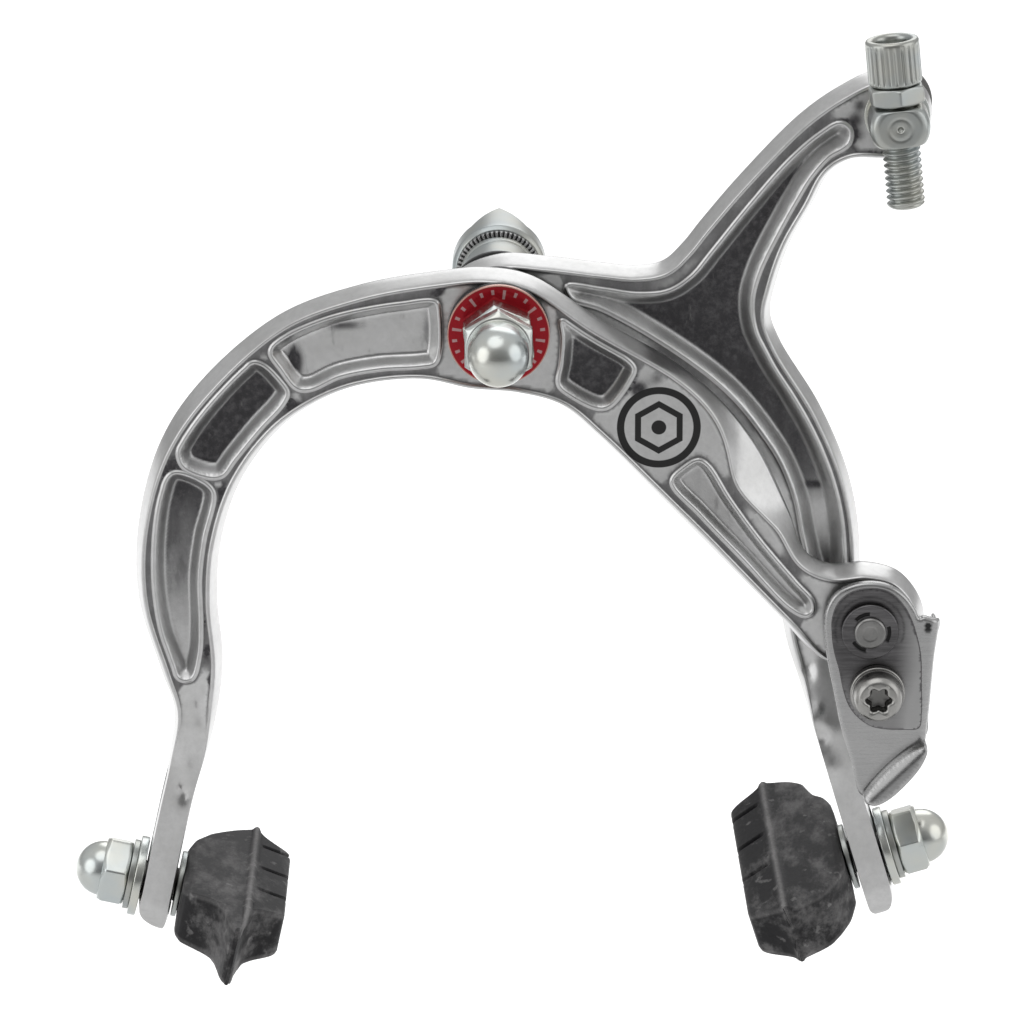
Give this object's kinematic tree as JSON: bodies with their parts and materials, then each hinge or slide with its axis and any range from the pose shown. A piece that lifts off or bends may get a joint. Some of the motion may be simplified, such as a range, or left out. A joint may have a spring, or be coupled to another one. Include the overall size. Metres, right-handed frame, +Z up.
{
  "type": "rim brake caliper",
  "caption": "Side-pull rim brake caliper: forged front and rear arms on one centre bolt, return spring, slotted pad mounts, cable anchor lever and swivelling barrel adjuster.",
  "frame": {"origin": "on the axis of the centre bolt, in the rear face of the radius washer, the plane where the caliper meets the frame", "axes": "+Y along the centre bolt towards the frame, +Z up, +X towards the cable side seen from the front; the wheel lies in the plane x = 0"},
  "size_m": [0.1393, 0.0722, 0.1498],
  "materials": {
    "forged_aluminium": "polished forging with dark grained pocket floors",
    "zinc": "bright zinc plate",
    "stainless": "brushed along the face, polished on the folds",
    "dark_steel": "machined",
    "spring_steel": "drawn wire",
    "red_finish": "gloss anodised red",
    "nylon": "moulded",
    "rubber": "moulded, scuffed"
  },
  "bodies": {
    "bolt_set": {"centre_bolt": "dark_steel", "dome_nut": "zinc", "pivot_lock_nut": "zinc", "red_washer": "red_finish", "front_thrust_washer": "nylon", "middle_washer": "nylon", "rear_thrust_washer": "nylon", "spring_block": "zinc", "return_spring": "spring_steel", "toothed_washer": "zinc", "radius_washer": "zinc", "flat_washer": "zinc", "mounting_nut": "zinc"},
    "front_arm_set": {"front_arm": "forged_aluminium", "anchor_pin": "dark_steel", "pin_retainer": "dark_steel"},
    "rear_arm_set": {"rear_arm": "forged_aluminium"},
    "cable_lever": {"anchor_lever": "stainless", "clamp_screw": "zinc", "clamp_washer": "zinc", "clamp_nut": "zinc"},
    "cable_stop": {"barrel_swivel": "zinc", "swivel_washer": "zinc", "swivel_clip": "dark_steel"},
    "stop_nut": {"adjuster_locknut": "zinc"},
    "stop_barrel": {"adjuster_barrel": "zinc"},
    "left_pad_carrier": {"left_pad_washer": "zinc", "left_pad_lock_washer": "zinc", "left_pad_nut": "zinc", "left_pad_inner_washer": "zinc"},
    "left_pad": {"left_pad_stud": "dark_steel", "left_pad_block": "rubber"},
    "right_pad_carrier": {"right_pad_washer": "zinc", "right_pad_lock_washer": "zinc", "right_pad_nut": "zinc", "right_pad_inner_washer": "zinc"},
    "right_pad": {"right_pad_stud": "dark_steel", "right_pad_block": "rubber"}
  },
  "joints": [
    {"name": "front_arm_pivot", "type": "hinge", "parent": "bolt_set", "child": "front_arm_set", "pos_m": [0, -0.0362, 0], "axis": [0, -1, 0], "range_deg": [0, 16], "stiffness_Nm_per_rad": 0.8, "springref_deg": -22.92, "deforming": ["return_spring"]},
    {"name": "rear_arm_pivot", "type": "hinge", "parent": "bolt_set", "child": "rear_arm_set", "pos_m": [0, -0.0266, 0], "axis": [0, 1, 0], "range_deg": [0, 16], "deforming": ["return_spring"]},
    {"name": "cable_lever_turn", "type": "hinge", "parent": "front_arm_set", "child": "cable_lever", "pos_m": [0.0578, -0.0425, -0.0474], "axis": [0, -1, 0], "range_deg": [0, 60]},
    {"name": "cable_stop_swivel", "type": "hinge", "parent": "rear_arm_set", "child": "cable_stop", "pos_m": [0.0614, -0.0361, 0.0319], "axis": [0, 1, 0], "range_deg": [-40, 40]},
    {"name": "adjuster_travel", "type": "slide", "parent": "cable_stop", "child": "stop_nut", "axis": [-0.1028, 0, 0.9947], "range_m": [0, 0.006]},
    {"name": "adjuster_turn", "type": "hinge", "parent": "stop_nut", "child": "stop_barrel", "pos_m": [0.0614, -0.0361, 0.0319], "axis": [-0.1028, 0, 0.9947], "range_deg": [0, 2161]},
    {"name": "left_pad_height", "type": "slide", "parent": "front_arm_set", "child": "left_pad_carrier", "axis": [0.2113, 0, 0.9774], "range_m": [0, 0.017]},
    {"name": "left_pad_pitch", "type": "hinge", "parent": "left_pad_carrier", "child": "left_pad", "pos_m": [-0.0543, -0.0309, -0.0934], "axis": [0.9774, 0, -0.2113], "range_deg": [-15, 15]},
    {"name": "right_pad_height", "type": "slide", "parent": "rear_arm_set", "child": "right_pad_carrier", "axis": [-0.289, 0, 0.9573], "range_m": [-0.0025, 0.017]},
    {"name": "right_pad_pitch", "type": "hinge", "parent": "right_pad_carrier", "child": "right_pad", "pos_m": [0.0589, -0.0284, -0.0895], "axis": [-0.9573, 0, -0.289], "range_deg": [-4, 25]}
  ],
  "couplings": [
    {"joint": "rear_arm_pivot", "follows": "front_arm_pivot", "ratio": 1},
    {"joint": "adjuster_turn", "follows": "adjuster_travel", "rad_per_m": 6283.2}
  ]
}
